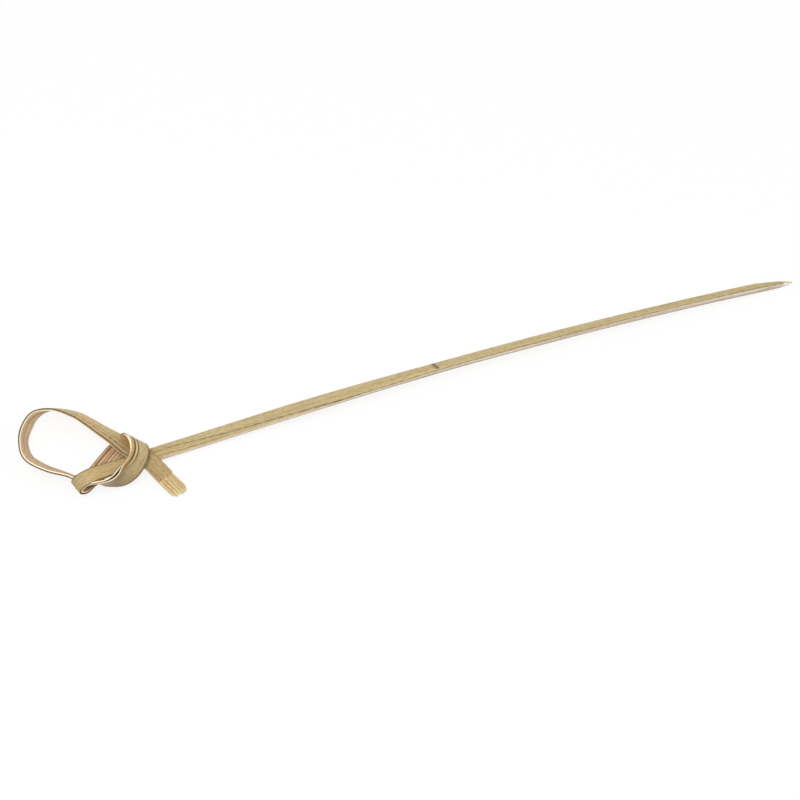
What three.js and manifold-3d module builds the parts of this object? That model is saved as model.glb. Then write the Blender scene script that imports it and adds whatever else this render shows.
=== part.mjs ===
import * as THREE from 'three';
import Module from 'manifold-3d';

// A bamboo knot pick: one splint, pointed at one end. The other end is planed thin, split through its
// thickness into two plies and tied in a slip knot that leaves a loop and a short tail.
// Millimetres, +Z up. The shaft lies along X with its point at +X, the loop reaches to -X and +Y.

const wasm = await Module();
wasm.setup();

// Shaft
const shaftLength = 164.5;
const shaftBow = 2.8;
const headWidth = 3.9;
const headThickness = 0.72;
const headLength = 36;
const stemWidth = 2.4;
const stemThickness = 1.15;
const stemStart = 84;
const endWidth = 1.8;
const endThickness = 1.45;
const pointLength = 9;
const pointWidth = 0.25;
const pointThickness = 0.35;
const facetShare = 0.3;
const facetDrop = 0.12;
const ridgeShare = 0.15;
const bevelShare = 0.12;

// Split head
const stripWidth = 4.4;
const plyThickness = 0.27;
const plyGap = 0.06;
const plyBevel = 0.05;
const rootLength = 1.2;
const rootBlend = 4.8;
const rootInset = 0.03;

// Loop and tail
const loopLength = 8.5;
const loopWidth = 21.5;
const tailLength = 10.8;
const plyStep = 6.2;

// How finely the sweeps follow their route
const longestStep = 1.7;
const sharpestStep = THREE.MathUtils.degToRad(13);
const runLength = 18;
const samplesPerStation = 40;
const shaftStationCount = 7;

const layer = 2 * plyThickness + plyGap;

// The knot's route. Each row gives the strip's centre, with X and Y in strip widths and the height in
// strip thicknesses, and then the direction across the strip, from its right edge to its left edge.
const throat = [
  [4.37, -0.22, 1.58, 0, -1, 0],
  [3.18, -0.28, 1.58, 0, -1, 0],
  [1.98, -0.35, 1.67, 0, -1, 0],
  [0.54, -0.49, 2.0, 0, -1, 0],
];
const knot = [
  // straight on under the ring, rising to the curl
  [-0.66, -0.75, 3.83, 0.03, -1, 0],
  [-1.59, -1.02, 5.83, 0.06, -1, 0],
  [-2.24, -1.2, 7.05, 0.13, -0.99, 0],
  // the curl: round and back underneath
  [-2.85, -1.34, 6.7, 0.17, -0.98, 0],
  [-3.16, -1.4, 4.33, 0.2, -0.98, 0],
  [-2.86, -1.33, 1.85, 0.22, -0.98, 0],
  [-2.27, -0.96, 1.5, 0.36, -0.93, 0],
  // the back strand, inner face up
  [-1.64, -0.46, 1.33, 0.55, -0.84, 0],
  [-0.97, 0.1, 1.33, 0.62, -0.79, 0],
  [-0.28, 0.67, 1.0, 0.63, -0.77, 0],
  [0.31, 1.0, 1.25, 0.68, -0.73, 0],
  // up, over the top and down the front as the ring
  [0.66, 0.82, 3.83, 0.76, -0.54, -0.36],
  [0.76, 0.34, 5.6, 0.7, -0.62, -0.35],
  [0.74, -0.17, 6.08, 0.76, -0.59, -0.28],
  [0.59, -0.62, 6.0, 0.85, -0.5, -0.16],
  [0.27, -1.07, 5.75, 0.92, -0.37, -0.14],
  [-0.21, -1.46, 5.17, 0.89, -0.3, -0.35],
  [-0.81, -1.68, 4.5, 0.69, 0.03, -0.73],
  [-1.4, -1.74, 4.33, 0.41, 0.38, -0.83],
  [-1.89, -1.67, 4.4, 0.26, 0.55, -0.8],
  // through the eye of the curl
  [-2.29, -1.29, 4.3, 0.48, 0.78, -0.4],
  [-2.63, -0.95, 4.25, 0.44, 0.78, -0.42],
];

// The loop. X is in loop lengths from the curl, Y in loop widths from the curl, and the height and the
// direction across the strip are as above.
const loop = [
  [0, 0, 3.25, 0.32, 0.73, -0.6],
  [-0.24, 0.1, 2.83, 0.36, 0.75, -0.56],
  [-0.56, 0.21, 3.33, 0.46, 0.73, -0.51],
  [-0.85, 0.4, 3.67, 0.59, 0.69, -0.42],
  [-0.8, 0.65, 3.83, 0.61, 0.44, -0.66],
  [-0.57, 0.825, 3.92, 0.56, 0.32, -0.76],
  [-0.23, 0.96, 4.0, 0.43, 0.41, -0.81],
  [0.22, 0.992, 4.17, 0.23, 0.64, -0.73],
  [0.77, 0.837, 4.33, 0.43, 0.72, -0.55],
  [1.03, 0.684, 4.25, 0.57, 0.66, -0.48],
  [1.24, 0.53, 4.17, 0.71, 0.57, -0.41],
];
// Where the loop leaves the curl, in strip widths
const curlPlace = [-3.08, -0.56];

// The strand that closes the loop, under the ring and over the shaft
const crossing = [
  [-0.24, 1.2, 4.1, 0.78, 0.56, -0.27],
  [0.23, 0.32, 3.58, 0.92, 0.38, -0.06],
  [0.65, -0.37, 3.5, 0.93, 0.37, 0],
  [0.97, -0.94, 3.42, 0.93, 0.37, 0],
];
const tailSlope = -68;
// The heights of the tail's middle and end, in strip thicknesses
const tailLevels = [2.0, 0.67];

function station(x, y, z, acrossX, acrossY, acrossZ) {
  return { centre: new THREE.Vector3(x, y, z), across: new THREE.Vector3(acrossX, acrossY, acrossZ) };
}

function knotStation([x, y, level, acrossX, acrossY, acrossZ]) {
  return station(x * stripWidth, y * stripWidth, level * layer, acrossX, acrossY, acrossZ);
}

function loopStation([x, y, level, acrossX, acrossY, acrossZ]) {
  const placeX = curlPlace[0] * stripWidth + x * loopLength;
  const placeY = curlPlace[1] * stripWidth + y * loopWidth;
  return station(placeX, placeY, level * layer, acrossX, acrossY, acrossZ);
}

// The shaft's own stations run from the point to the throat, on a shallow arch
function shaftStations() {
  const throatEnd = knotStation(throat[0]).centre;
  const tip = new THREE.Vector3(shaftLength, throatEnd.y, endThickness / 2);
  const stations = [];
  for (let i = 0; i < shaftStationCount; i += 1) {
    const share = i / shaftStationCount;
    const centre = tip.clone().lerp(throatEnd, share);
    centre.z += shaftBow * 4 * share * (1 - share);
    stations.push({ centre, across: new THREE.Vector3(0, -1, 0) });
  }
  return stations;
}

// The tail runs straight on from the last crossing, down to the ground
function tailStations() {
  const [x, y, , ...across] = crossing[crossing.length - 1];
  const heading = THREE.MathUtils.degToRad(tailSlope);
  return tailLevels.map((level, i) => {
    const run = tailLength * (i + 1) / tailLevels.length;
    const placeX = x * stripWidth + Math.cos(heading) * run;
    const placeY = y * stripWidth + Math.sin(heading) * run;
    return station(placeX, placeY, level * layer, ...across);
  });
}

const beforeSplit = [...shaftStations(), ...throat.map(knotStation)];
const stations = [
  ...beforeSplit,
  ...knot.map(knotStation),
  ...loop.map(loopStation),
  ...crossing.map(knotStation),
  ...tailStations(),
];

// One smooth route through every station. Each frame holds the distance from the point, the centre, the
// direction across the strip and the direction out of its skin side.
const centreCurve = new THREE.CatmullRomCurve3(stations.map((s) => s.centre), false, 'centripetal');
const acrossCurve = new THREE.CatmullRomCurve3(stations.map((s) => s.across), false, 'centripetal');

function frameAt(t, distance) {
  const along = centreCurve.getTangent(t);
  const across = acrossCurve.getPoint(t);
  across.addScaledVector(along, -across.dot(along)).normalize();
  const out = along.clone().cross(across).normalize();
  return { t, distance, centre: centreCurve.getPoint(t), along, across, out };
}

function routeFrames() {
  const samples = stations.length * samplesPerStation;
  const frames = [frameAt(0, 0)];
  let last = frames[0];
  let distance = 0;
  let previous = last.centre;
  for (let i = 1; i <= samples; i += 1) {
    const point = centreCurve.getPoint(i / samples);
    distance += point.distanceTo(previous);
    previous = point;
    const next = frameAt(i / samples, distance);
    const turn = next.along.angleTo(last.along) + next.out.angleTo(last.out);
    const near = distance - last.distance;
    if (turn > sharpestStep || near > longestStep || i === samples) {
      frames.push(next);
      last = next;
    }
  }
  return frames;
}

const frames = routeFrames();
const routeLength = frames[frames.length - 1].distance;
const splitAt = (beforeSplit.length - 1) / (stations.length - 1);
const splitDistance = frames.find((frame) => frame.t >= splitAt).distance;

// The frame a given distance from the point, between two route frames
function frameAtDistance(distance) {
  const i = Math.max(1, frames.findIndex((frame) => frame.distance >= distance));
  const [a, b] = [frames[i - 1], frames[i]];
  const share = (distance - a.distance) / (b.distance - a.distance);
  return frameAt(a.t + (b.t - a.t) * share, distance);
}

function framesBetween(from, to) {
  const margin = longestStep / 4;
  const inside = frames.filter((frame) => frame.distance > from + margin && frame.distance < to - margin);
  return [frameAtDistance(from), ...inside, frameAtDistance(to)];
}

// A closed solid swept along frames. The section is a closed loop of [across, out] points, counted
// anticlockwise as seen from the tail, with as many points at each frame.
function sweep(path, sectionAt) {
  const vertices = [];
  const triangles = [];
  const rings = path.map(sectionAt);
  const size = rings[0].length;
  rings.forEach((ring, i) => {
    const { centre, across, out } = path[i];
    ring.forEach(([a, b]) => {
      const point = centre.clone().addScaledVector(across, a).addScaledVector(out, b);
      vertices.push(point.x, point.y, point.z);
    });
  });
  for (let i = 0; i + 1 < rings.length; i += 1) {
    for (let j = 0; j < size; j += 1) {
      const here = i * size + j;
      const beside = i * size + (j + 1) % size;
      triangles.push(here, beside, beside + size, here, beside + size, here + size);
    }
  }
  const last = (rings.length - 1) * size;
  for (let j = 1; j + 1 < size; j += 1) {
    triangles.push(0, j + 1, j);
    triangles.push(last, last + j, last + j + 1);
  }
  const mesh = new wasm.Mesh({
    numProp: 3,
    vertProperties: new Float32Array(vertices),
    triVerts: new Uint32Array(triangles),
  });
  return new wasm.Manifold(mesh);
}

function smooth(from, to, value) {
  return THREE.MathUtils.smoothstep(value, from, to);
}

// The shaft's width and thickness grow and shrink with the distance from the point
function shaftSize(distance) {
  const fromThroat = shaftLength - distance;
  const toStem = smooth(headLength, stemStart, fromThroat);
  const toEnd = smooth(stemStart, shaftLength - pointLength, fromThroat);
  const atPoint = 1 - Math.min(1, distance / pointLength);
  const atRoot = smooth(splitDistance - rootBlend, splitDistance, distance);
  let width = headWidth + (stemWidth - headWidth) * toStem + (endWidth - stemWidth) * toEnd;
  let thickness = headThickness + (stemThickness - headThickness) * toStem
    + (endThickness - stemThickness) * toEnd;
  const shift = (width - pointWidth) / 2 * atPoint;
  width += (pointWidth - width) * atPoint;
  thickness += (pointThickness - thickness) * atPoint ** 2;
  width += (stripWidth - 2 * rootInset - width) * atRoot;
  thickness += (layer - 2 * rootInset - thickness) * atRoot;
  const facet = facetDrop * (1 - atPoint) * (1 - toEnd) * (1 - atRoot);
  return { width, thickness, shift, facet };
}

// The skin side is nearly flat, with its left edge planed down in a narrow facet
function shaftSection(frame) {
  const { width, thickness, shift, facet } = shaftSize(frame.distance);
  const right = shift - width / 2;
  const left = shift + width / 2;
  const ridge = left - width * facetShare;
  const top = thickness / 2;
  const bottom = (endThickness - thickness) * (1 - Math.min(1, frame.distance / pointLength)) / -2 - top;
  const bevel = thickness * bevelShare;
  return [
    [right, bottom],
    [left, bottom],
    [left, top - facet - bevel],
    [left - bevel, top - facet],
    [ridge, top - facet * ridgeShare],
    [right + bevel, top],
    [right, top - bevel],
  ];
}

// A ply is a thin strip with eased edges on its outer side
function plySection(inner, outer) {
  const half = stripWidth / 2;
  const eased = outer > 0 ? outer - plyBevel : inner + plyBevel;
  const ring = outer > 0
    ? [[-half, inner], [half, inner], [half, eased], [half - plyBevel, outer], [plyBevel - half, outer],
      [-half, eased]]
    : [[plyBevel - half, inner], [half - plyBevel, inner], [half, eased], [half, outer], [-half, outer],
      [-half, eased]];
  return () => ring;
}

// A ply is joined from short runs, so that it stays one sound solid where it presses on itself
function ply(inner, outer, from, to) {
  const count = Math.ceil((to - from) / runLength);
  const runs = [];
  for (let i = 0; i < count; i += 1) {
    const start = from + (to - from) * i / count;
    const end = from + (to - from) * (i + 1) / count;
    runs.push(sweep(framesBetween(start, end), plySection(inner, outer)));
  }
  return runs.reduce((joined, run) => joined.add(run));
}

function pickSolid() {
  const shaft = sweep(framesBetween(0, splitDistance), shaftSection);
  const plyStart = splitDistance - rootLength;
  const skin = ply(plyGap / 2, layer / 2, plyStart, routeLength - plyStep);
  const inner = ply(-layer / 2, -plyGap / 2, plyStart, routeLength);
  return shaft.add(skin).add(inner);
}

// The origin is under the middle of the pick, at the surface that it lies on
function placed(solid) {
  const { min, max } = solid.boundingBox();
  return solid.translate([-(min[0] + max[0]) / 2, -(min[1] + max[1]) / 2, -min[2]]);
}

function geometryOf(solid) {
  const mesh = solid.getMesh();
  const geometry = new THREE.BufferGeometry();
  geometry.setAttribute('position', new THREE.BufferAttribute(mesh.vertProperties, 3));
  geometry.setIndex(new THREE.BufferAttribute(mesh.triVerts, 1));
  geometry.computeVertexNormals();
  return geometry;
}

const bamboo = new THREE.MeshStandardMaterial({ color: 0xc9b684, roughness: 0.55, metalness: 0 });
const pick = new THREE.Mesh(geometryOf(placed(pickSolid())), bamboo);
pick.name = 'knot_pick';

const part = new THREE.Group();
part.add(pick);

export default part;
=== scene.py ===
# %% [markdown]
# # A bamboo knot pick
# The pick is one splint of bamboo. Its shaft is planed to a point, and its head is planed thin, split through
# its thickness into two plies, and tied in a slip knot. This lesson builds its looks round the CAD frame: a
# route through the knot first, then the strips that are swept along it, then the bamboo itself.

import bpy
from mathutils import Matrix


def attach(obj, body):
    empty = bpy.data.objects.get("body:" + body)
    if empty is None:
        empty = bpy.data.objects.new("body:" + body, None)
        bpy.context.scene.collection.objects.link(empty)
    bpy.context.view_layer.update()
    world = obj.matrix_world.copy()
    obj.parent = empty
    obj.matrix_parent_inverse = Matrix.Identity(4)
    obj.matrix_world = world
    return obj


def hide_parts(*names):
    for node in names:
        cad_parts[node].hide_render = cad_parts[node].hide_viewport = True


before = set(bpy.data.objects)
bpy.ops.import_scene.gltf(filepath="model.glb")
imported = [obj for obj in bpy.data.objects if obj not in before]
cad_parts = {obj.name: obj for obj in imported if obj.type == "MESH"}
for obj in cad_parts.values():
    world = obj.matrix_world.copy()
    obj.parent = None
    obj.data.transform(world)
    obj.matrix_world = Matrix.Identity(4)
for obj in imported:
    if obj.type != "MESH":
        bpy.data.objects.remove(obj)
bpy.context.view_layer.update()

import math
import bpy
import numpy as np
from mathutils import Vector

# %% [markdown]
# ## Sizes
# The sizes are in millimetres until a mesh is made. They are the same named values as in the CAD source, so
# that the strands lie where the solid has them.

# %% Name the sizes
MM_PER_M = 1000

SHAFT_LENGTH = 164.5
SHAFT_BOW = 2.8
SHAFT_STATIONS = 7
HEAD_WIDTH, HEAD_THICKNESS, HEAD_LENGTH = 3.9, 0.72, 36.0
STEM_WIDTH, STEM_THICKNESS, STEM_START = 2.4, 1.15, 84.0
END_WIDTH, END_THICKNESS = 1.8, 1.45
POINT_LENGTH, POINT_WIDTH, POINT_THICKNESS = 9.0, 0.25, 0.35
FACET_SHARE, FACET_DROP = 0.3, 0.12
STRIP_WIDTH = 4.4
PLY_THICKNESS = 0.27
PLY_GAP = 0.06
LAYER = 2 * PLY_THICKNESS + PLY_GAP
ROOT_LENGTH, ROOT_BLEND, ROOT_INSET = 1.2, 4.8, 0.03
LOOP_LENGTH, LOOP_WIDTH = 8.5, 21.5
TAIL_LENGTH = 10.8
PLY_STEP = 6.2

# %% [markdown]
# ## The route through the knot
# A slip knot is easiest to model as the path that the strip's middle takes. Each row below is one place on
# it: X and Y in strip widths, the height in strip thicknesses, and the direction across the strip. The strip
# goes under the ring, curls back, passes behind, rolls over as the ring, goes through the curl's eye, round
# the loop, and ends under the ring as the tail. The rows are those of the solid, but for how this one pick is
# tied: its curl lies flatter and its loop stands more on edge.

# %% Write down the stations
THROAT = [
    (4.37, -0.22, 1.58, 0, -1, 0),
    (3.18, -0.28, 1.58, 0, -1, 0),
    (1.98, -0.35, 1.67, 0, -1, 0),
    (0.54, -0.49, 2.0, 0, -1, 0),
]
KNOT = [
    # straight on under the ring, rising to the curl
    (-0.66, -0.75, 3.83, 0.03, -1, 0),
    (-1.59, -1.02, 5.65, 0.06, -1, -0.15),
    (-2.24, -1.2, 6.65, 0.13, -0.99, -0.2),
    # the curl: round and back underneath
    (-2.85, -1.34, 6.25, 0.17, -0.98, -0.2),
    (-3.16, -1.4, 4.1, 0.2, -0.98, -0.05),
    (-2.86, -1.33, 1.9, 0.22, -0.98, 0.12),
    (-2.27, -0.96, 1.6, 0.36, -0.93, 0.1),
    # the back strand, inner face up
    (-1.64, -0.46, 1.33, 0.55, -0.84, 0),
    (-0.97, 0.1, 1.33, 0.62, -0.79, 0),
    (-0.28, 0.67, 1.0, 0.63, -0.77, 0),
    (0.31, 1.0, 1.25, 0.68, -0.73, 0),
    # up, over the top and down the front as the ring
    (0.66, 0.82, 3.83, 0.76, -0.54, -0.36),
    (0.76, 0.34, 5.6, 0.7, -0.62, -0.35),
    (0.74, -0.17, 6.08, 0.76, -0.59, -0.28),
    (0.59, -0.62, 6.0, 0.85, -0.5, -0.16),
    (0.27, -1.07, 5.75, 0.92, -0.37, -0.14),
    (-0.21, -1.46, 5.17, 0.89, -0.3, -0.35),
    (-0.81, -1.68, 4.5, 0.69, 0.03, -0.73),
    (-1.4, -1.74, 4.33, 0.41, 0.38, -0.83),
    (-1.89, -1.67, 4.4, 0.26, 0.55, -0.8),
    # through the eye of the curl
    (-2.29, -1.29, 4.05, 0.48, 0.78, -0.27),
    (-2.63, -0.95, 4.05, 0.44, 0.78, -0.36),
]
# The loop's X is in loop lengths and its Y in loop widths, both from the place where it leaves the curl.
CURL_PLACE = (-3.08, -0.56)
LOOP = [
    (0.0, 0.0, 3.25, 0.3, 0.6, -0.68),
    (-0.24, 0.1, 2.83, 0.34, 0.7, -0.64),
    (-0.57, 0.21, 3.33, 0.42, 0.7, -0.6),
    (-0.88, 0.4, 3.67, 0.5, 0.63, -0.58),
    (-0.83, 0.65, 3.83, 0.48, 0.36, -0.8),
    (-0.6, 0.825, 3.92, 0.42, 0.28, -0.86),
    (-0.23, 0.96, 4.0, 0.43, 0.41, -0.81),
    (0.22, 0.986, 4.17, 0.23, 0.64, -0.73),
    (0.77, 0.82, 4.33, 0.43, 0.72, -0.55),
    (1.03, 0.667, 4.25, 0.57, 0.66, -0.48),
    (1.24, 0.518, 4.17, 0.71, 0.57, -0.41),
]
# The strand that closes the loop, under the ring and over the shaft.
CROSSING = [
    (-0.24, 1.2, 4.1, 0.78, 0.56, -0.27),
    (0.23, 0.32, 3.58, 0.92, 0.38, -0.06),
    (0.65, -0.37, 3.5, 0.93, 0.37, 0),
    (0.97, -0.94, 3.42, 0.93, 0.37, 0),
]
TAIL_SLOPE = math.radians(-68)
TAIL_SHARES = np.array([0.5, 1.0])
TAIL_LEVELS = np.array([2.0, 0.67])


# %% Turn the stations into places
def knot_places(rows, step=(STRIP_WIDTH, STRIP_WIDTH), start=(0, 0)):
    """Centres, in mm, and directions across. A centre is start plus the row's X and Y in steps, and its
    height in layers."""
    rows = np.array(rows, float)
    centres = rows[:, :3] * [step[0], step[1], LAYER] + [start[0], start[1], 0]
    return centres, rows[:, 3:]


def shaft_places():
    """Places from the point to the throat, on the chord between them plus a parabola 4 k (1 - k)."""
    throat_end = knot_places(THROAT)[0][0]
    tip = np.array([SHAFT_LENGTH, throat_end[1], END_THICKNESS / 2])
    k = (np.arange(SHAFT_STATIONS) / SHAFT_STATIONS)[:, None]
    centres = tip + (throat_end - tip) * k + np.array([0, 0, SHAFT_BOW]) * 4 * k * (1 - k)
    return centres, np.tile([0.0, -1.0, 0.0], (SHAFT_STATIONS, 1))


def tail_places():
    """The tail's middle and end, straight on from the last crossing along TAIL_SLOPE."""
    centres, directions = knot_places(CROSSING)
    heading = np.array([math.cos(TAIL_SLOPE), math.sin(TAIL_SLOPE)])
    run = TAIL_LENGTH * TAIL_SHARES[:, None]
    tail = np.c_[centres[-1, :2] + heading * run, LAYER * TAIL_LEVELS]
    return tail, np.tile(directions[-1], (len(tail), 1))


loop_start = (CURL_PLACE[0] * STRIP_WIDTH, CURL_PLACE[1] * STRIP_WIDTH)
parts = [
    shaft_places(), knot_places(THROAT), knot_places(KNOT),
    knot_places(LOOP, (LOOP_LENGTH, LOOP_WIDTH), loop_start), knot_places(CROSSING), tail_places(),
]
station_centres = np.vstack([centres for centres, directions in parts])
station_across = np.vstack([directions for centres, directions in parts])
split_station = SHAFT_STATIONS + len(THROAT) - 1
print(len(station_centres), "stations, split at", split_station)


# %% [markdown]
# ## A smooth curve through the stations
# A Catmull-Rom curve passes through every station, and its centripetal form doesn't overshoot where they
# are close together. Reading it at even distances gives a frame at each: where the strip's middle is, which
# way is across, and which way the skin side faces. A short blur takes out the last changes of curvature.

# %% Make the route's frames
# How far apart the frames are, in mm, how many readings measure the curve, and how many frames a blur has.
STEP = 0.1
FINE_READINGS = 20000
CENTRE_BLUR, ACROSS_BLUR = 4, 6
NO_LENGTH = 1e-4


def curve_through(points, t):
    """Centripetal Catmull-Rom: a cubic in each span from b to c. Its slopes weigh that span and the ones
    before and after it by the square root of their length. Equal neighbours have no length, so their span
    counts as 1, or as the span beside it."""
    ends = np.vstack([2 * points[0] - points[1], points, 2 * points[-1] - points[-2]])
    span = np.clip(np.floor(t).astype(int), 0, len(points) - 2)
    u = (t - span)[:, None]
    a, b, c, d = (ends[span + k] for k in range(4))
    roots = [np.sqrt(np.linalg.norm(q - p, axis=1))[:, None] for p, q in ((a, b), (b, c), (c, d))]
    here = np.where(roots[1] < NO_LENGTH, 1.0, roots[1])
    before = np.where(roots[0] < NO_LENGTH, here, roots[0])
    after = np.where(roots[2] < NO_LENGTH, here, roots[2])
    slope_b = ((b - a) / before - (c - a) / (before + here) + (c - b) / here) * here
    slope_c = ((c - b) / here - (d - b) / (here + after) + (d - c) / after) * here
    square = 3 * (c - b) - 2 * slope_b - slope_c
    cube = 2 * (b - c) + slope_b + slope_c
    return b + slope_b * u + square * u**2 + cube * u**3


def unit(rows):
    """Each row divided by its length."""
    return rows / np.linalg.norm(rows, axis=-1, keepdims=True)


def blurred(rows, width):
    """A Gaussian blur along the rows, cut off at three widths. The ends are held by straight continuation."""
    reach = 3 * width
    weights = np.exp(-0.5 * (np.arange(-reach, reach + 1) / width) ** 2)
    weights /= weights.sum()
    start = 2 * rows[0] - rows[reach:0:-1]
    end = 2 * rows[-1] - rows[-2:-reach - 2:-1]
    padded = np.vstack([start, rows, end])
    return np.stack([np.convolve(padded[:, k], weights, "valid") for k in range(3)], axis=1)


t_fine = np.linspace(0, len(station_centres) - 1, FINE_READINGS)
fine = curve_through(station_centres, t_fine)
walked = np.concatenate([[0], np.cumsum(np.linalg.norm(np.diff(fine, axis=0), axis=1))])
ROUTE_LENGTH = float(walked[-1])
SPLIT = float(np.interp(split_station, t_fine, walked))
distances = np.arange(0, ROUTE_LENGTH, STEP)
t_even = np.interp(distances, walked, t_fine)
centre = blurred(curve_through(station_centres, t_even), CENTRE_BLUR)
along = unit(np.gradient(centre, axis=0))
across = blurred(unit(curve_through(station_across, t_even)), ACROSS_BLUR)
across = unit(across - along * np.sum(across * along, axis=1, keepdims=True))
out = np.cross(along, across)
print("route", round(ROUTE_LENGTH, 1), "mm, split after", round(SPLIT, 1), "mm")


def place(s, v, w):
    """The point at distance s, v across the strip and w out of it: centre + v across + w out, for whole
    arrays. Beyond the route's end it goes straight on."""
    def read(rows):
        return np.stack([np.interp(s, distances, rows[:, k]) for k in range(3)], axis=-1)
    beyond = np.clip(s - distances[-1], 0, None)[..., None] * along[-1]
    return read(centre) + beyond + read(across) * v[..., None] + read(out) * w[..., None]


# %% [markdown]
# ## Move the route into the CAD frame
# The CAD puts its origin under the middle of the whole pick. The same step is done here: the box of the
# strip and of the point is measured, and the route is shifted by the middle of that box.

# %% Shift the route
head = distances[distances >= SPLIT]
edges = np.vstack([
    place(head, np.full_like(head, v), np.full_like(head, w))
    for v in (-STRIP_WIDTH / 2, STRIP_WIDTH / 2) for w in (-LAYER / 2, LAYER / 2)
])
low = np.minimum(edges.min(axis=0), centre[0])
high = np.maximum(edges.max(axis=0), centre[0])
shift = -np.array([(low[0] + high[0]) / 2, (low[1] + high[1]) / 2, low[2]])
centre = centre + shift
print("shifted by", np.round(shift, 2), "mm")


# %% [markdown]
# ## Strips as surfaces of two parameters
# Shaft and plies are one kind of surface: s runs along the route, and each ring is a closed profile. Every
# vertex is place(s, v, w). The ends are closed by quads that join the profile's upper row to its lower row.
# A UV map holds the distances along and around, so that the fibres follow the strip through every turn.

# %% Build the strips
# How many mm the UV map has to a unit, and the angle from which an edge stays sharp.
MAP_MM = 100
SHARP_ANGLE = math.radians(38)


def profile(row):
    """A closed profile: the row from left to right, the middle of the right edge, the row back again below,
    and the middle of the left edge. Gives each point's share across, -1 to 1, and its share of the height."""
    across_share = np.concatenate([row, [-1.0], row[::-1], [1.0]])
    height_share = np.concatenate([np.ones(len(row)), [0.5], np.zeros(len(row)), [0.5]])
    return across_share, height_share


def strip_faces(rings, around):
    """Faces by vertex number: the sides and the two end caps as quads, and a triangle at each cap's edges."""
    corner = around // 2 - 2
    index = np.arange(rings * around).reshape(rings, around)
    a, b = index[:-1], np.roll(index, -1, axis=1)[:-1]
    sides = np.stack([a, b, b + around, a + around], axis=-1).reshape(-1, 4)
    upper = np.arange(corner + 1)
    lower = around - 2 - upper
    cap = np.stack([upper[:-1], lower[:-1], lower[1:], upper[1:]], axis=1)
    first, last = index[0], index[-1]
    triangles = np.array([
        [first[corner], first[corner + 2], first[corner + 1]],
        [first[0], first[around - 1], first[around - 2]],
        [last[corner], last[corner + 1], last[corner + 2]],
        [last[0], last[around - 2], last[around - 1]],
    ])
    return sides, np.vstack([first[cap], last[cap[:, ::-1]]]), triangles


def strip_map(s, v, w, caps, triangles):
    """UV for each face corner, with MAP_MM to a unit: along by around on the sides, and along by across on
    the ends."""
    step = np.hypot(np.diff(np.c_[v, v[:, :1]], axis=1), np.diff(np.c_[w, w[:, :1]], axis=1))
    walk = np.c_[np.zeros(len(s)), np.cumsum(step, axis=1)]
    grid = np.stack([np.c_[s, s[:, :1]], walk], axis=-1)
    corners = [grid[:-1, :-1], grid[:-1, 1:], grid[1:, 1:], grid[1:, :-1]]
    side_uv = np.stack(corners, axis=2).reshape(-1, 2)
    flat = np.stack([s + w, v], axis=-1).reshape(-1, 2)
    end_uv = flat[np.concatenate([caps.reshape(-1), triangles.reshape(-1)])]
    return np.vstack([side_uv, end_uv]) / MAP_MM


def closed_strip(name, s, v, w, materials, slots, tone, dark):
    """A strip whose rows of s, v and w are its rings. slots says which of the materials the upper row, the
    lower row and the edges have, and the ends are as the edges. tone and dark are read at each vertex."""
    rings, around = s.shape
    sides, caps, triangles = strip_faces(rings, around)
    points = place(s, v, w) / MM_PER_M
    mesh = bpy.data.meshes.new(name)
    mesh.from_pydata(points.reshape(-1, 3), [], sides.tolist() + caps.tolist() + triangles.tolist())

    for material in materials:
        mesh.materials.append(material)
    above, below, edge_slot = slots
    row_faces = around // 2 - 2
    around_slots = np.repeat([above, edge_slot, below, edge_slot], [row_faces, 2, row_faces, 2])
    end_slots = np.full(len(caps) + len(triangles), edge_slot)
    all_slots = np.concatenate([np.tile(around_slots, rings - 1), end_slots])
    mesh.polygons.foreach_set("material_index", all_slots.astype(np.int32))

    uv = mesh.uv_layers.new(name="strip")
    corner_map = strip_map(s, v, w, caps, triangles)
    uv.data.foreach_set("uv", corner_map.astype(np.float32).reshape(-1))
    colour = mesh.color_attributes.new("tone", "FLOAT_COLOR", "POINT")
    rgba = np.concatenate([tone(s, v), np.ones(s.shape + (1,))], axis=-1)
    colour.data.foreach_set("color", rgba.astype(np.float32).reshape(-1))
    shade = mesh.attributes.new("dark", "FLOAT", "POINT")
    shade.data.foreach_set("value", dark(s, v, w).astype(np.float32).reshape(-1))

    mesh.validate()
    mesh.shade_smooth()
    mesh.set_sharp_from_angle(angle=SHARP_ANGLE)
    strip = bpy.data.objects.new(name, mesh)
    bpy.context.collection.objects.link(strip)
    triangle_count = sum(len(face.vertices) - 2 for face in mesh.polygons)
    print(name, len(mesh.vertices), "vertices,", triangle_count, "triangles")
    return strip


# %% [markdown]
# ## Bamboo
# Bamboo is fibres all the way through. The skin side is smooth, green-tan and a little glossy, with fine
# lengthwise lines. The inner side is paler, pinker, and shows its fibres as light and dark streaks. A cut
# edge is cream. One recipe serves all of them: noise stretched along the strip, at three widths, gives the
# fibres their colour, and the piece's tone and dark lines, which are worked out per vertex and hold painted
# shade and a painted highlight besides its own marks, go over it.

# %% Make the bamboo materials
# Each kind of noise: its width in fibre widths, its length in mm, its detail, and its place in the noise.
BROAD_FIBRES = (3, 40, 2.0, 1.3)
MAIN_FIBRES = (1, 22, 3.0, 4.1)
FINE_GRAIN = (0.42, 1.0, 2.0, 7.7)
SEED_SHARE = 0.37
NOISE_ROUGHNESS = 0.6
# The broad fibres' share of the long ones, and where on the scale of fibres the three colours are.
BROAD_SHARE = 0.35
DEEP_AT, MIDDLE_AT, PALE_AT = 0.25, 0.5, 0.78
# The dark brown of the lines and of the painted shade, and the gloss that all the finishes share.
LINE_AND_SHADE_COLOUR = (0.095, 0.045, 0.014, 1)
GLOSS = {"Coat Roughness": 0.45, "Specular IOR Level": 0.35}
BUMP_STRENGTH, BUMP_HEIGHT_M = 0.5, 0.00006


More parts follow.
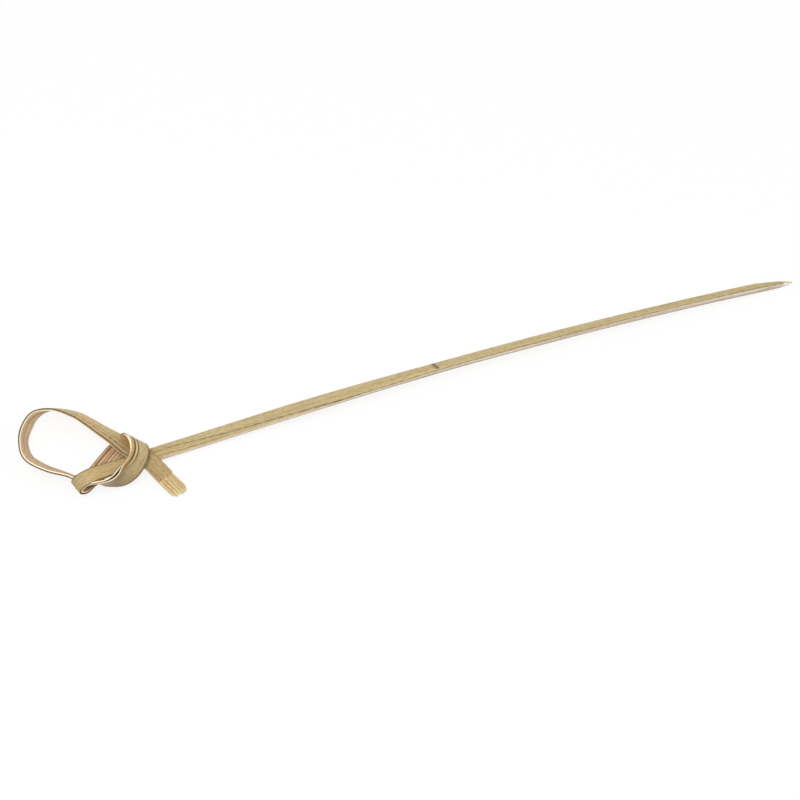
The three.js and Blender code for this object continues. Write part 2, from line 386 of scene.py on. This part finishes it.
def bamboo(name, pale, middle, deep, fibre_width, speckle, contrast, roughness, coat):
    """A bamboo finish. Colours are linear RGB from the lightest fibre to the darkest, fibre_width is in mm,
    and speckle is the share of the fine grain, the rest being long fibres."""
    material = bpy.data.materials.new(name)
    material.use_nodes = True
    nodes, links = material.node_tree.nodes, material.node_tree.links
    shader = nodes["Principled BSDF"]
    for key, value in {**GLOSS, "Roughness": roughness, "Coat Weight": coat}.items():
        shader.inputs[key].default_value = value

    strip_uv = nodes.new("ShaderNodeUVMap")
    strip_uv.uv_map = "strip"

    def fibres(widths, length, detail, seed):
        """Noise whose cells are so many fibre widths across and so many mm long."""
        mapping = nodes.new("ShaderNodeMapping")
        mapping.inputs["Scale"].default_value = (MAP_MM / length, MAP_MM / (fibre_width * widths), 1)
        mapping.inputs["Location"].default_value = (seed, SEED_SHARE * seed, seed)
        noise = nodes.new("ShaderNodeTexNoise")
        noise.inputs["Scale"].default_value = 1.0
        noise.inputs["Detail"].default_value = detail
        noise.inputs["Roughness"].default_value = NOISE_ROUGHNESS
        links.new(strip_uv.outputs["UV"], mapping.inputs["Vector"])
        links.new(mapping.outputs["Vector"], noise.inputs["Vector"])
        return noise.outputs["Fac"]

    def maths(operation, a, b):
        """The result of one operation on two numbers or sockets."""
        node = nodes.new("ShaderNodeMath")
        node.operation = operation
        for socket, value in zip(node.inputs, (a, b)):
            if isinstance(value, (int, float)):
                socket.default_value = value
            else:
                links.new(value, socket)
        return node.outputs[0]

    def blend(a, share_a, b, share_b):
        """a and b in these shares."""
        return maths("ADD", maths("MULTIPLY", a, share_a), maths("MULTIPLY", b, share_b))

    def mixed(kind, factor, a, b):
        """Two colours mixed. The factor and the colours are values or sockets."""
        node = nodes.new("ShaderNodeMix")
        node.data_type = "RGBA"
        node.blend_type = kind
        for key, value in ((0, factor), (6, a), (7, b)):
            if isinstance(value, (int, float, tuple)):
                node.inputs[key].default_value = value
            else:
                links.new(value, node.inputs[key])
        return node.outputs[2]

    broad = fibres(*BROAD_FIBRES)
    main = fibres(*MAIN_FIBRES)
    grain = fibres(*FINE_GRAIN)
    long_share = 1 - speckle
    long_fibres = blend(main, (1 - BROAD_SHARE) * long_share, broad, BROAD_SHARE * long_share)
    streak = maths("ADD", long_fibres, maths("MULTIPLY", grain, speckle))
    stretched = maths("ADD", maths("MULTIPLY", maths("SUBTRACT", streak, 0.5), contrast), 0.5)
    ramp = nodes.new("ShaderNodeValToRGB")
    stops = ramp.color_ramp.elements
    stops[0].position, stops[0].color = DEEP_AT, (*deep, 1)
    stops[1].position, stops[1].color = PALE_AT, (*pale, 1)
    stops.new(MIDDLE_AT).color = (*middle, 1)
    links.new(stretched, ramp.inputs["Fac"])

    tone = nodes.new("ShaderNodeAttribute")
    tone.attribute_name = "tone"
    dark = nodes.new("ShaderNodeAttribute")
    dark.attribute_name = "dark"
    toned = mixed("MULTIPLY", 1.0, ramp.outputs["Color"], tone.outputs["Color"])
    lined = mixed("MIX", dark.outputs["Fac"], toned, LINE_AND_SHADE_COLOUR)
    links.new(lined, shader.inputs["Base Color"])

    bump = nodes.new("ShaderNodeBump")
    bump.inputs["Strength"].default_value = BUMP_STRENGTH
    bump.inputs["Distance"].default_value = BUMP_HEIGHT_M
    links.new(blend(main, 0.5, grain, 0.5), bump.inputs["Height"])
    links.new(bump.outputs["Normal"], shader.inputs["Normal"])
    return material


skin = bamboo(
    "bamboo skin", pale=(0.62, 0.50, 0.28), middle=(0.50, 0.395, 0.195), deep=(0.34, 0.25, 0.11),
    fibre_width=0.45, speckle=0.58, contrast=1.7, roughness=0.5, coat=0.15,
)
inside = bamboo(
    "bamboo inside", pale=(0.80, 0.60, 0.38), middle=(0.58, 0.385, 0.215), deep=(0.33, 0.18, 0.085),
    fibre_width=0.4, speckle=0.3, contrast=2.2, roughness=0.75, coat=0.0,
)
heart = bamboo(
    "bamboo split face", pale=(0.92, 0.76, 0.46), middle=(0.72, 0.53, 0.26), deep=(0.46, 0.29, 0.11),
    fibre_width=0.5, speckle=0.25, contrast=2.6, roughness=0.7, coat=0.0,
)
edge = bamboo(
    "bamboo edge", pale=(1.0, 0.90, 0.68), middle=(0.93, 0.78, 0.54), deep=(0.72, 0.55, 0.34),
    fibre_width=0.3, speckle=0.4, contrast=1.0, roughness=0.7, coat=0.0,
)
flank = bamboo(
    "bamboo planed side", pale=(0.77, 0.68, 0.56), middle=(0.62, 0.53, 0.41), deep=(0.40, 0.30, 0.21),
    fibre_width=0.3, speckle=0.4, contrast=1.9, roughness=0.7, coat=0.0,
)
print("finishes:", [m.name for m in (skin, inside, heart, edge, flank)])


# %% [markdown]
# ## Places along and across a strip
# Everything that changes on a strip is said with four small functions: a hump, a stretch with eased ends, a
# line that follows the strip, and a table of places and values. Along the strip they take x, in millimetres
# past the split, so that the shaft is below 0. Across it they take v, in millimetres from the middle, with
# the left edge above 0.

# %% Say where things are
def past(s):
    """Millimetres past the split."""
    return s - SPLIT


def hump(x, middle, width):
    """A smooth hump of height 1: exp(-((x - middle) / width)^2)."""
    return np.exp(-(((x - middle) / width) ** 2))


def stretch(x, start, end, ease):
    """1 from start to end. Each side rises or falls in a straight line, ease long, halfway at the border."""
    return np.clip((x - start) / ease + 0.5, 0, 1) * np.clip((end - x) / ease + 0.5, 0, 1)


def line_along(x, v, strength, span, middle, width):
    """A line along the strip: strength, times a stretch of x over span, times a hump of v about middle."""
    return strength * stretch(x, *span) * hump(v, middle, width)


def from_table(x, table):
    """The value at x, on straight lines between the table's pairs of place and value."""
    places, values = zip(*table)
    return np.interp(x, places, values)


# %% [markdown]
# ## The two plies
# Past the split the head is two thin strips, one on the other. The skin ply is outside all the way, and its
# inner partner shows its own edge beside it as a second cream line. They stand apart a little where the ring
# turns on edge. The skin ply stops short of the tail's end, so the inner ply's fibrous face shows there.

# %% Say how the plies lie
# Where the plies stand apart: the place, how far, and over what length, all in mm.
SPREADS = [(55, 0.55, 3), (18, 0.16, 4), (88, 0.08, 12), (8, 0.1, 3)]
# How far the edges are from the strip's middle. On the right the strip is as narrow as the planed head until
# it is round the curl, and on the left it is widest behind the knot.
RIGHT_EDGE = [(-2, 2.17), (2, 1.62), (15, 1.62), (25, 2.2)]
LEFT_EDGE = [(2, 2.17), (6, 2.05), (22, 2.05), (28, 2.9), (34, 2.9), (38, 2.2)]
# The folds on the ring run to the right by FOLD_SLOPE, from FOLD_START and for FOLD_RUN.
FOLD_SLOPE, FOLD_START, FOLD_RUN = 0.05, 42, 9

# A ply's mesh: faces across, mm between rings, how far its corners are set in and its faces domed, and how
# much of the cosine there is in the spacing of its rows.
PLY_FACES = 44
PLY_RING_STEP = 0.2
PLY_INSET = 0.035
PLY_DOME = 0.04
EDGE_CROWDING = 0.45
WORN_CORNER = 0.9
# How much farther along the tail than in the solid each ply reaches.
SKIN_EXTRA, INNER_EXTRA = 1.2, 0.6


def spread_of(s):
    """How far the plies stand apart beyond PLY_GAP, in mm: a sum of humps."""
    return sum(height * hump(past(s), middle, width) for middle, height, width in SPREADS)


def edge_of(s, side):
    """How far the edge is from the strip's middle, in mm. side is 1 on the left and -1 on the right. Both
    edges waver by up to 2 percent, as a sum of two waves."""
    waver = 1 + 0.012 * np.sin(s / 4.1 + side) + 0.008 * np.sin(s / 1.7 + 2 * side)
    x = past(s)
    return waver * np.where(side > 0, from_table(x, LEFT_EDGE), from_table(x, RIGHT_EDGE))


def fold_drift(x):
    """How far to the right the ring's folds have run at x, in mm."""
    return FOLD_SLOPE * np.clip(x - FOLD_START, 0, FOLD_RUN)


def crease_of(s, v):
    """Lengthwise folds pressed into the ring's front, right of its middle: two grooves and a rib."""
    x = past(s)
    folded = v + fold_drift(x)
    rib = 0.12 * hump(folded, -0.6, 0.15)
    grooves = 0.2 * hump(folded, -0.95, 0.13) + 0.12 * hump(folded, -0.2, 0.14)
    return stretch(x, 40.5, 50.5, 3.0) * (rib - grooves)


def ply(name, below, above, end, materials, tone, dark):
    """A ply between the heights below and above the strip's middle, from the shaft to end(v) on the route.
    Its rows crowd towards the edges, and its faces are domed by PLY_DOME."""
    row = np.linspace(1, -1, PLY_FACES + 1)
    row = EDGE_CROWDING * np.cos((1 - row) * math.pi / 2) + (1 - EDGE_CROWDING) * row
    across_share, height_share = profile(row)
    inset = np.full(across_share.shape, PLY_INSET)
    inset[[PLY_FACES + 1, -1]] = 0
    start = SPLIT - ROOT_LENGTH
    rings = int((end(np.zeros(1))[0] - start) / PLY_RING_STEP)
    ends = end(across_share * STRIP_WIDTH / 2)
    s = start + (ends - start) * np.linspace(0, 1, rings)[:, None]
    v = across_share * (edge_of(s, np.sign(across_share)) - inset)
    side = 1 if above > 0 else -1
    w = below + (above - below) * height_share + side * spread_of(s) / 2
    w = w + PLY_DOME * (1 - across_share**2) + crease_of(s, v)
    return closed_strip(name, s, v, w, materials, (0, 1, 2), tone, dark)


def ragged(end, depth, corner):
    """A torn end: the fibres stop at slightly different places, as a sum of three waves across the strip, and
    the corners are worn back by up to corner, with the square of how far v is into the last WORN_CORNER."""
    def ends_at(v):
        torn = depth * (0.5 * np.sin(2.1 * v + 0.4) + 0.3 * np.sin(5.3 * v + 1.1) + 0.2 * np.sin(13.0 * v))
        into_corner = (np.abs(v) - STRIP_WIDTH / 2 + WORN_CORNER) / WORN_CORNER
        return end + torn - corner * np.clip(into_corner, 0, 1) ** 2
    return ends_at


# %% [markdown]
# ## Tones and lines of the knot
# The skin is palest on the last strand and darkest where the ring turns under. The inner face is pinkest on
# the back strand and paler round the loop. The dark lines are the grooves of the fibre bundles, painted shade
# in the creases that tying has pressed in, and painted shade under each rim and between the plies.

# %% Say how light and how warm the strips are
# Pairs of place and value. Warmth adds red and takes blue away, and coolness adds green and blue.
SKIN_LIGHT = [
    (-60, 1.0), (-20, 1.0), (0, 0.93), (6, 0.9), (14, 0.97), (17, 0.76), (19, 0.66), (26, 0.8), (38, 0.85),
    (44, 0.97), (50, 0.72), (56, 0.47), (66, 0.75), (78, 0.95), (90, 0.95), (98, 1.12), (106, 1.15),
    (118, 0.9), (124, 0.78), (136, 0.79),
]
SKIN_WARMTH = [
    (-30, 0), (-10, 0.03), (2, 0.1), (13, 0.1), (16, 0.04), (44, 0.02), (50, 0.05), (57, 0.09), (66, 0.03),
    (96, 0.04), (104, 0.1), (136, 0.1),
]
INNER_LIGHT = [
    (20, 1.0), (26, 1.1), (38, 1.1), (64, 1.0), (74, 1.14), (86, 1.06), (96, 1.0), (127, 1.04), (134, 0.9),
    (136, 1.04),
]
INNER_COOLNESS = [(60, 1.0), (70, 1.17), (96, 1.17), (110, 1.0), (134, 1.0), (136, 1.2)]
# The point is cut pale up to this distance from its tip, with this ease, in mm.
CUT_END, CUT_EASE = 2.4, 0.8


def strip_tone(s, v):
    """The skin's tone along shaft and knot, as a multiplier for each colour channel: light and warmth,
    painted shade where the last strand goes under the ring, a painted highlight on the ring's rib, brown
    stains on the ring and a painted shadow of the ring on the last strand, and worn pale places at the ring's
    rim and at the cut point."""
    x = past(s)
    # Painted shade where the last strand goes under the ring.
    shade_under_ring = 1 - 0.14 * stretch(x, 114, 120, 4)
    # A painted highlight along the rib that the ring's folds raise.
    rib = line_along(x, v, strength=0.75, span=(40, 50, 3), middle=-0.6 - fold_drift(x), width=0.15)
    lit = from_table(x, SKIN_LIGHT) * shade_under_ring * (1 + rib)
    warm = 1 + from_table(x, SKIN_WARMTH)
    # The first and last terms are brown stains on the ring; the middle term is a painted shadow of the ring
    # on the last strand.
    stain_and_shadow = (
        0.6 * hump(x, 51.5, 1.6) * hump(v, -1.5, 0.5)
        + 0.25 * stretch(x, 116, 121, 3) * stretch(v, -0.3, 2.3, 1.2)
        + 0.2 * stretch(x, 40, 50, 3) * stretch(v, -2.3, -1.2, 0.3)
    )
    worn = line_along(x, v, strength=0.9, span=(41, 58, 3), middle=-2.12, width=0.17)
    worn = worn + 0.5 * np.clip((CUT_END - s) / CUT_EASE, 0, 1)
    red = lit * warm * (1 - 0.25 * stain_and_shadow) * (1 + worn)
    green = lit * (1 - 0.7 * stain_and_shadow) * (1 + 1.2 * worn)
    blue = lit * (2 - warm) * (1 - 1.3 * stain_and_shadow) * (1 + 2 * worn)
    return np.stack([red, green, blue], axis=-1)


def inner_tone(s, v):
    """The inner ply's shade: light, and a little more blue where it is less pink, as round the loop."""
    light = from_table(past(s), INNER_LIGHT)
    cool = from_table(past(s), INNER_COOLNESS)
    return np.stack([light, light * np.sqrt(cool), light * cool], axis=-1)


# %% Draw the lines on the plies
# Nearer than this to the strip's middle, in mm, a ply's surface faces the other ply.
FACING_HEIGHT = 0.15


def between_plies(s, v):
    """The shade between the plies at the bottom of the ring, where they stand apart."""
    return 0.9 * hump(past(s), 55, 3.5) * stretch(v, -2.05, -0.4, 0.2)


def skin_lines(s, v, w):
    """Dark lines on the skin ply: painted shade in the grooves of the ring's folds, broken grooves on the
    last strand and the tail, painted shade along the rim behind the curl and along the ring's rim, painted
    shade between the plies where they stand apart, and its corners, except where the right one is worn
    bright."""
    x = past(s)
    drift = fold_drift(x)
    side_edge = edge_of(s, np.sign(v))
    # Painted shade in the ring's two creases.
    crease_shade = (
        line_along(x, v, strength=1.2, span=(40, 50, 3), middle=-0.98 - drift, width=0.2)
        + line_along(x, v, strength=0.9, span=(40, 49, 3), middle=-0.2 - drift, width=0.15)
    )
    broken = 0.7 + 0.3 * np.sin(x * 2.9 + 1.7 * np.sin(x * 0.83))
    tail_middle = -1.65 + 0.07 * (x - 126)
    grooves = broken * (
        line_along(x, v, strength=1.05, span=(99, 119, 5), middle=-1.0, width=0.19)
        + line_along(x, v, strength=0.85, span=(123, 131, 2), middle=tail_middle, width=0.13)
        + line_along(x, v, strength=0.6, span=(98, 119, 4), middle=-1.95, width=0.12)
    )
    upper_middle = 0.1 + 0.03 * (x - 110)
    grooves = grooves + line_along(x, v, strength=0.5, span=(104, 119, 6), middle=upper_middle, width=0.16)
    # Painted shade along the rim behind the curl and along the ring's rim.
    rim_shade = (
        line_along(x, v, strength=0.65, span=(-2, 19, 3), middle=0.08 - side_edge, width=0.2)
        + line_along(x, v, strength=0.85, span=(40, 62, 4), middle=side_edge - 0.1, width=0.26)
    )
    bright = np.maximum(stretch(x, 39, 63, 3), 0.7 * stretch(x, 121, 140, 3))
    corners = 0.95 * hump(np.abs(v), side_edge, 0.13) * (1 - np.where(v < 0, bright, 0))
    gap = between_plies(s, v) * (w - spread_of(s) / 2 < FACING_HEIGHT)
    return np.clip(gap + crease_shade + grooves + rim_shade + corners, 0, 0.92)


def inner_lines(s, v, w):
    """The coarse dark fibres of the inner face, strong on the back strand and faint round the loop. They are
    a sum of waves across the strip, cut off below 0, that drift slowly along it. The rims are darker."""
    x = past(s)
    wave = (
        np.sin(8.3 * v + 0.4 * np.sin(x / 5))
        + 0.6 * np.sin(13.7 * v + 1.2 + 0.5 * np.sin(x / 7))
        + 0.4 * np.sin(4.1 * v + 2.0)
    )
    strength = 0.95 * stretch(x, 20, 38, 4) + 0.12 * stretch(x, 66, 98, 6) + 0.5 * stretch(x, 127, 140, 2)
    fibres = strength * np.clip(wave / 1.3, 0, 1)
    rim = 0.7 * stretch(x, 20, 38, 4) * hump(np.abs(v), edge_of(s, np.sign(v)), 0.15)
    height = np.clip((w + LAYER / 2) / PLY_THICKNESS, 0, 1)
    loop_rim = line_along(x, v, strength=0.9, span=(62, 100, 6), middle=edge_of(s, 1), width=0.05)
    last_rim = line_along(x, v, strength=0.5, span=(97, 119, 4), middle=-edge_of(s, -1), width=0.05)
    gap = between_plies(s, v) * (w + spread_of(s) / 2 > -FACING_HEIGHT)
    return np.clip(fibres + rim + loop_rim * height**2 + last_rim * height + gap, 0, 0.9)


# %% Build the plies
skin_end = ragged(ROUTE_LENGTH - PLY_STEP + SKIN_EXTRA, depth=0.5, corner=0.0)
inner_end = ragged(ROUTE_LENGTH + INNER_EXTRA, depth=0.3, corner=1.1)
skin_ply = ply(
    "skin_ply", PLY_GAP / 2, LAYER / 2, skin_end, [skin, heart, edge], strip_tone, skin_lines,
)
inner_ply = ply(
    "inner_ply", -LAYER / 2, -PLY_GAP / 2, inner_end, [heart, inside, edge], inner_tone, inner_lines,
)


# %% [markdown]
# ## The shaft
# The shaft is planed from the same splint. It is wide and thin at the head and narrower and thicker towards
# the point. Its skin side keeps the green-tan skin, and the plane leaves pale sides and long facet lines.

# %% Say how wide and how thick the shaft is
# The power of the distance with which the point widens. Under 1 it is blunt.
POINT_BLUNTNESS = 0.75


def eased(low, high, x):
    """Smoothstep: 3 k^2 - 2 k^3 of how far x is from low to high."""
    k = np.clip((x - low) / (high - low), 0, 1)
    return k * k * (3 - 2 * k)


def shaft_size(s):
    """Width, thickness and sideways shift, with the same easing between head, stem and end as the solid, and
    how far s is into the point, the end and the root, as shares. The point is blunter than the solid's."""
    from_throat = SHAFT_LENGTH - s
    to_stem = eased(HEAD_LENGTH, STEM_START, from_throat)
    to_end = eased(STEM_START, SHAFT_LENGTH - POINT_LENGTH, from_throat)
    at_point = 1 - np.clip(s / POINT_LENGTH, 0, 1) ** POINT_BLUNTNESS
    at_root = eased(SPLIT - ROOT_BLEND, SPLIT, s)
    width = HEAD_WIDTH + (STEM_WIDTH - HEAD_WIDTH) * to_stem + (END_WIDTH - STEM_WIDTH) * to_end
    thickness = HEAD_THICKNESS + (STEM_THICKNESS - HEAD_THICKNESS) * to_stem
    thickness = thickness + (END_THICKNESS - STEM_THICKNESS) * to_end
    shift = (width - POINT_WIDTH) / 2 * at_point
    width = width + (POINT_WIDTH - width) * at_point
    thickness = thickness + (POINT_THICKNESS - thickness) * at_point**3
    width = width + (STRIP_WIDTH - 2 * ROOT_INSET - width) * at_root
    thickness = thickness + (LAYER - 2 * ROOT_INSET - thickness) * at_root
    return width, thickness, shift, at_point, to_end, at_root


# %% Draw the lines on the shaft
# Two grooves that the plane left near the head: how far each is from the shaft's middle, along the shaft.
FIRST_GROOVE = [(-50, 1.45), (-28, 0.9), (-22, 0.7), (-17, 0.19), (-9, -0.37)]
SECOND_GROOVE = [(-21, 1.35), (-11, 1.35), (-7, 1.08)]
# The bruise's place, and how far it slants along the shaft for each mm across.
BRUISE_AT, BRUISE_SLANT = -73.3, 0.35
# The near rim's line and the shaft's left corner begin at these shares of the half width.
RIM_FROM, CORNER_FROM = 0.9, 0.96


def shaft_lines(s, v, w):
    """Broken grooves and a broken line along the near rim, a fainter one along the far rim, and one slanting
    bruise on the skin side. The lower half of the near side is shaded."""
    x = past(s)
    width, _, shift = shaft_size(s)[:3]
    half = width / 2
    rim = half * RIM_FROM + shift
    first_middle, second_middle = from_table(x, FIRST_GROOVE), from_table(x, SECOND_GROOVE)
    first = line_along(x, v, strength=0.95, span=(-52, -3, 8), middle=first_middle, width=0.14)
    second = line_along(x, v, strength=0.7, span=(-22, -3, 5), middle=second_middle, width=0.14)
    near_rim = line_along(x, v, strength=0.85, span=(-SPLIT, -44, 12), middle=rim, width=0.11)
    near_rim = near_rim * (v < half * CORNER_FROM + shift)
    far_rim = line_along(x, v, strength=0.5, span=(-60, 5, 30), middle=shift - half, width=0.1)
    bruise = 0.9 * hump(x + BRUISE_SLANT * v, BRUISE_AT, 0.4) * stretch(v, -1.9, 0.8, 0.5)
    broken = 0.75 + 0.25 * np.sin(x * 2.3 + 1.3 * np.sin(x * 0.71))
    on_skin = np.clip((first + second + near_rim) * broken + far_rim + bruise, 0, 0.85) * (w > 0)
    return on_skin + 0.45 * (w < 0) * (v > rim)


# %% Build the shaft
SHAFT_FACES = 40
SHAFT_RING_STEP = 0.4
SHAFT_INSET = 0.03
# The rims are eased down by RIM_DROP over the last RIM_SHARE of the half width.
RIM_SHARE, RIM_DROP = 0.07, 0.05


def build_shaft():
    """Rings from the point to the split. The upper row is the skin side. Its left part is planed down in a
    facet, and both its rims are eased."""
    s = np.linspace(0, SPLIT, int(SPLIT / SHAFT_RING_STEP))[:, None]
    width, thickness, shift, at_point, to_end, at_root = shaft_size(s)
    across_share, height_share = profile(np.linspace(1, -1, SHAFT_FACES + 1))
    outward = np.abs(across_share)
    inset = np.where(outward == 1, SHAFT_INSET, 0)
    inset[[SHAFT_FACES + 1, -1]] = 0
    v = shift + across_share * width / 2 * (1 - inset * (1 - at_root))
    top = thickness / 2
    bottom = (END_THICKNESS - thickness) * at_point / 2 - top
    ridge = 1 - 2 * FACET_SHARE
    facet = FACET_DROP * (1 - at_point) * (1 - to_end) * (1 - at_root)
    planed = facet * np.clip((across_share - ridge) / (1 - ridge), 0, 1)
    rim_drop = RIM_DROP * np.clip((outward - 1 + RIM_SHARE) / RIM_SHARE, 0, 1)
    w = bottom + (top - bottom) * height_share - (planed + rim_drop) * (height_share == 1)
    s_grid = np.broadcast_to(s, v.shape)
    return closed_strip("shaft", s_grid, v, w, [skin, flank, inside], (0, 2, 1), strip_tone, shaft_lines)


shaft = build_shaft()

# %% Give the pieces to the frame
for piece in (shaft, skin_ply, inner_ply):
    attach(piece, "root")
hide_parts("knot_pick")

# %% [markdown]
# ## Floor, light and camera
# The pick lies on white. The floor shows as white to the camera and still takes the pick's soft shadow. A
# large lamp over the left shoulder and a bright even world light it, at a level where colours render as
# they are written. The camera is far off with a long lens, because strands that are one behind another
# keep their sizes.

# %% Lay the floor
FLOOR_REACH_M = 3.0
FLOOR_WHITE = (0.95, 0.95, 0.95, 1)
FLOOR_ROUGHNESS = 0.9
PLAIN_WHITE_SHARE = 0.85


def seen_directly(nodes, links):
    """1 for the camera's rays, and for those that reach it by gloss or through glass: the highest of three
    tests."""
    rays = nodes.new("ShaderNodeLightPath")
    highest = rays.outputs["Is Camera Ray"]
    for kind in ("Is Glossy Ray", "Is Transmission Ray"):
        larger = nodes.new("ShaderNodeMath")
        larger.operation = "MAXIMUM"
        links.new(highest, larger.inputs[0])
        links.new(rays.outputs[kind], larger.inputs[1])
        highest = larger.outputs[0]
    return highest


def white_floor():
    """A wide square under the pick, diffuse white, and lifted towards plain white for the camera's rays."""
    mesh = bpy.data.meshes.new("floor")
    corners = np.array([[-1, -1, 0], [1, -1, 0], [1, 1, 0], [-1, 1, 0]]) * FLOOR_REACH_M
    mesh.from_pydata(corners, [], [(0, 1, 2, 3)])
    material = bpy.data.materials.new("white floor")
    material.use_nodes = True
    nodes, links = material.node_tree.nodes, material.node_tree.links
    shader = nodes["Principled BSDF"]
    shader.inputs["Base Color"].default_value = FLOOR_WHITE
    shader.inputs["Roughness"].default_value = FLOOR_ROUGHNESS
    shader.inputs["Specular IOR Level"].default_value = 0.0
    glow = nodes.new("ShaderNodeEmission")
    glow.inputs["Strength"].default_value = 1.0
    share = nodes.new("ShaderNodeMath")
    share.operation = "MULTIPLY"
    share.inputs[1].default_value = PLAIN_WHITE_SHARE
    links.new(seen_directly(nodes, links), share.inputs[0])
    mix = nodes.new("ShaderNodeMixShader")
    links.new(share.outputs[0], mix.inputs["Fac"])
    links.new(shader.outputs["BSDF"], mix.inputs[1])
    links.new(glow.outputs["Emission"], mix.inputs[2])
    links.new(mix.outputs["Shader"], nodes["Material Output"].inputs["Surface"])
    mesh.materials.append(material)
    floor = bpy.data.objects.new("floor", mesh)
    bpy.context.collection.objects.link(floor)


white_floor()

# %% Light it
WORLD_STRENGTH, BACKDROP_STRENGTH = 0.62, 1.0

world = bpy.data.worlds.new("studio")
bpy.context.scene.world = world
world.use_nodes = True
world_nodes, world_links = world.node_tree.nodes, world.node_tree.links
sky = world_nodes["Background"]
sky.inputs["Color"].default_value = (1, 1, 1, 1)
sky.inputs["Strength"].default_value = WORLD_STRENGTH
backdrop = world_nodes.new("ShaderNodeBackground")
backdrop.inputs["Strength"].default_value = BACKDROP_STRENGTH
choice = world_nodes.new("ShaderNodeMixShader")
world_links.new(seen_directly(world_nodes, world_links), choice.inputs["Fac"])
world_links.new(sky.outputs["Background"], choice.inputs[1])
world_links.new(backdrop.outputs["Background"], choice.inputs[2])
world_links.new(choice.outputs["Shader"], world_nodes["World Output"].inputs["Surface"])


def lamp(name, place_m, size_m, watts):
    """A square area lamp that faces the middle of the pick."""
    data = bpy.data.lights.new(name, "AREA")
    data.shape = "SQUARE"
    data.size = size_m
    data.energy = watts
    thing = bpy.data.objects.new(name, data)
    thing.location = place_m
    thing.rotation_euler = (-Vector(place_m)).to_track_quat("-Z", "Y").to_euler()
    bpy.context.collection.objects.link(thing)


lamp("key", place_m=(-0.45, -0.35, 0.75), size_m=0.5, watts=4.6)
lamp("fill", place_m=(0.6, -0.3, 0.6), size_m=0.6, watts=1.2)

# %% Set the camera
AZIMUTH, ELEVATION = math.radians(-20.6), math.radians(46.2)
TARGET = Vector((-0.0053, -0.0068, 0.0))
CAMERA_DISTANCE_M = 1.5
PIXELS_PER_M = 4335
PICTURE_WIDTH = 800
SENSOR_MM = 36.0
CLIP_END_M = 20.0

look = Vector((
    -math.sin(AZIMUTH) * math.cos(ELEVATION), math.cos(AZIMUTH) * math.cos(ELEVATION), -math.sin(ELEVATION),
))
camera_data = bpy.data.cameras.new("camera")
camera_data.sensor_width = SENSOR_MM
camera_data.lens = SENSOR_MM * CAMERA_DISTANCE_M * PIXELS_PER_M / PICTURE_WIDTH
camera_data.clip_end = CLIP_END_M
camera = bpy.data.objects.new("camera", camera_data)
camera.location = TARGET - look * CAMERA_DISTANCE_M
camera.rotation_euler = look.to_track_quat("-Z", "Y").to_euler()
bpy.context.collection.objects.link(camera)
bpy.context.scene.camera = camera
bpy.context.scene.view_settings.view_transform = "Standard"
print("lens", round(camera_data.lens, 1), "mm")
